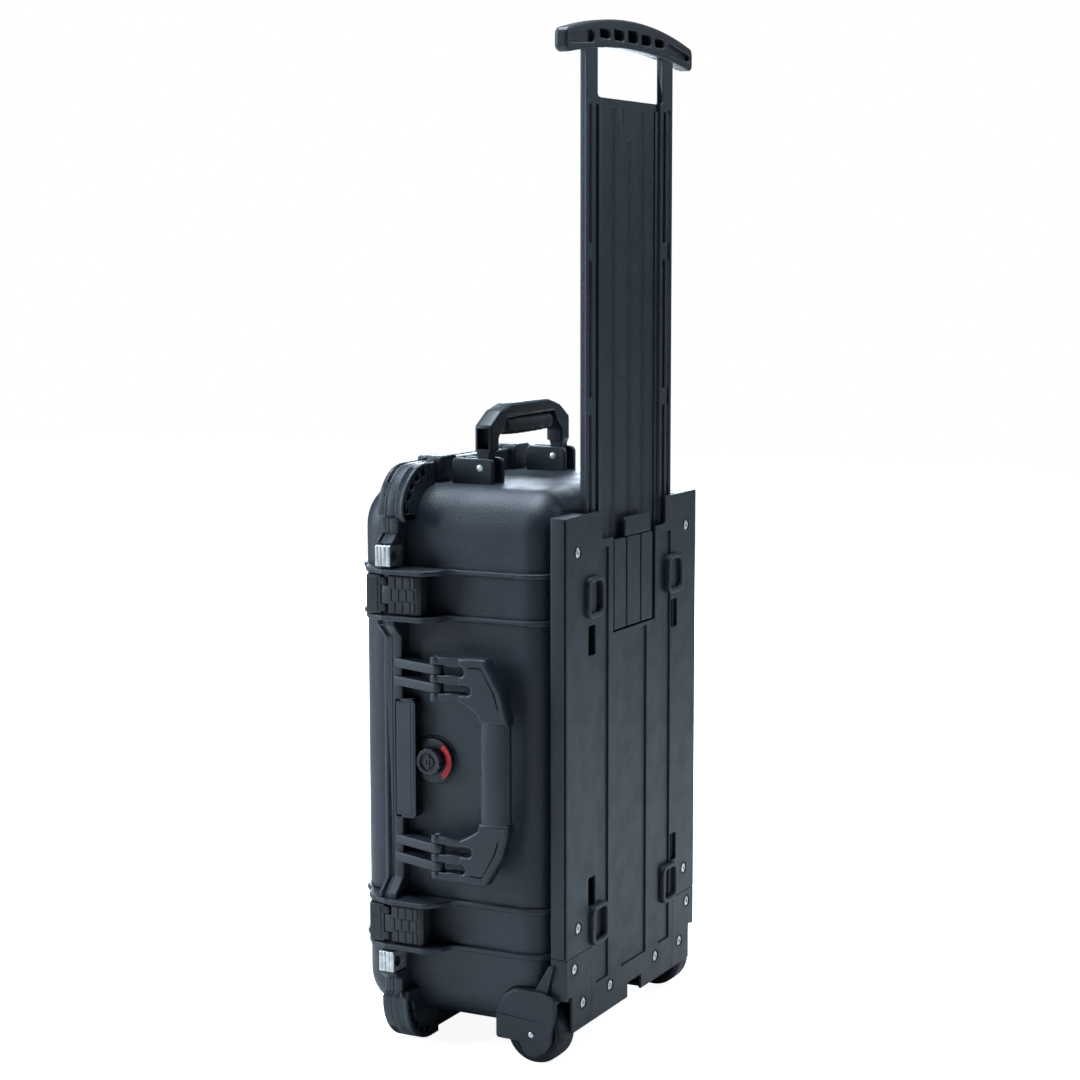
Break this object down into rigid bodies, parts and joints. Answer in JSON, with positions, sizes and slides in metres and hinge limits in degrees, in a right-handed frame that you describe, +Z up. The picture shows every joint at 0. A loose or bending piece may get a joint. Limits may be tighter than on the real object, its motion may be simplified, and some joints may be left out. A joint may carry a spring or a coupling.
{
  "type": "wheeled hard equipment case",
  "caption": "Upright hard plastic carry-on case with hinged lid, draw latches, two carry handles, relief valve, recessed wheels and an extending pull handle.",
  "frame": {"origin": "on the floor under the centre of the standing case, at the lowest point of the wheels and the rim", "axes": "+Z up along the case and the pull handle, +X from the lid towards the wheels and the pull-handle panel, -Y towards the latches and the front carry handle, +Y towards the lid hinge"},
  "size_m": [0.2295, 0.3508, 0.9655],
  "materials": {
    "shell_plastic": "moulded, fine pebble grain, satin",
    "panel_plastic": "moulded, smooth satin with light scuffing",
    "handle_plastic": "moulded, fine grain",
    "latch_plastic": "moulded, dull black",
    "soft_grip": "overmoulded, matte",
    "seal_rubber": "matte",
    "tyre_rubber": "polyurethane tyre, satin",
    "stainless": "brushed",
    "screw_steel": "bright",
    "bush_metal": "plain",
    "valve_red": "satin red",
    "nameplate_plastic": "fine satin"
  },
  "bodies": {
    "base": {"base_shell": "shell_plastic", "hinge_pins": "stainless", "nameplate": "nameplate_plastic", "padlock_eyes_base": "stainless", "trolley_panel": "panel_plastic", "trolley_cover": "panel_plastic", "guide_rails": "panel_plastic", "corner_housing_left": "panel_plastic", "corner_housing_right": "panel_plastic", "wheel_axles": "stainless", "panel_screws": "screw_steel", "front_handle_pins": "stainless", "top_handle_pins": "stainless", "valve_body": "latch_plastic", "valve_gasket": "seal_rubber", "valve_ring": "valve_red", "valve_membrane": "stainless", "valve_nut": "latch_plastic"},
    "lid": {"lid_shell": "shell_plastic", "lid_seal": "seal_rubber", "padlock_eyes_lid": "stainless", "latch_pins": "stainless"},
    "latch_upper": {"latch_upper_body": "latch_plastic", "latch_upper_lever_pin": "stainless"},
    "latch_upper_finger": {"latch_upper_lever": "latch_plastic"},
    "latch_lower": {"latch_lower_body": "latch_plastic", "latch_lower_lever_pin": "stainless"},
    "latch_lower_finger": {"latch_lower_lever": "latch_plastic"},
    "front_handle": {"front_handle_frame": "handle_plastic", "front_handle_grip": "soft_grip"},
    "top_handle": {"top_handle_frame": "handle_plastic", "top_handle_grip": "soft_grip"},
    "trolley": {"trolley_plate": "handle_plastic", "trolley_grip": "handle_plastic", "trolley_grip_back": "handle_plastic", "grip_screws": "screw_steel", "trolley_bumpers": "soft_grip"},
    "release": {"release_tab": "panel_plastic"},
    "wheel_left": {"wheel_hub_left": "handle_plastic", "wheel_tyre_left": "tyre_rubber", "wheel_bushes_left": "bush_metal"},
    "wheel_right": {"wheel_hub_right": "handle_plastic", "wheel_tyre_right": "tyre_rubber", "wheel_bushes_right": "bush_metal"},
    "valve_knob": {"valve_knob": "latch_plastic"}
  },
  "joints": [
    {"name": "lid_hinge", "type": "hinge", "parent": "base", "child": "lid", "pos_m": [-0.0665, 0.1675, 0.28], "axis": [0, 0, -1], "range_deg": [0, 100]},
    {"name": "latch_upper_pivot", "type": "hinge", "parent": "lid", "child": "latch_upper", "pos_m": [-0.082, -0.159, 0.437], "axis": [0, 0, -1], "range_deg": [0, 95]},
    {"name": "latch_upper_finger_pivot", "type": "hinge", "parent": "latch_upper", "child": "latch_upper_finger", "pos_m": [-0.0672, -0.1686, 0.437], "axis": [0, 0, -1], "range_deg": [0, 30]},
    {"name": "latch_lower_pivot", "type": "hinge", "parent": "lid", "child": "latch_lower", "pos_m": [-0.082, -0.159, 0.123], "axis": [0, 0, -1], "range_deg": [0, 95]},
    {"name": "latch_lower_finger_pivot", "type": "hinge", "parent": "latch_lower", "child": "latch_lower_finger", "pos_m": [-0.0672, -0.1686, 0.123], "axis": [0, 0, -1], "range_deg": [0, 30]},
    {"name": "front_handle_hinge", "type": "hinge", "parent": "base", "child": "front_handle", "pos_m": [-0.012, -0.169, 0.278], "axis": [0, 0, -1], "range_deg": [0, 100]},
    {"name": "top_handle_hinge", "type": "hinge", "parent": "base", "child": "top_handle", "pos_m": [-0.0095, 0, 0.55], "axis": [0, 1, 0], "range_deg": [0, 86]},
    {"name": "trolley_slide", "type": "slide", "parent": "base", "child": "trolley", "axis": [0, 0, 1], "range_m": [-0.412, 0]},
    {"name": "release_press", "type": "slide", "parent": "base", "child": "release", "axis": [-1, 0, 0], "range_m": [0, 0.0025], "stiffness_N_per_m": 400},
    {"name": "wheel_left_spin", "type": "hinge", "parent": "base", "child": "wheel_left", "pos_m": [0.0765, -0.132, 0.03], "axis": [0, 1, 0], "continuous": true},
    {"name": "wheel_right_spin", "type": "hinge", "parent": "base", "child": "wheel_right", "pos_m": [0.0765, 0.132, 0.03], "axis": [0, 1, 0], "continuous": true},
    {"name": "valve_turn", "type": "hinge", "parent": "base", "child": "valve_knob", "pos_m": [-0.0285, -0.15, 0.279], "axis": [0, -1, 0], "range_deg": [0, 90]}
  ]
}
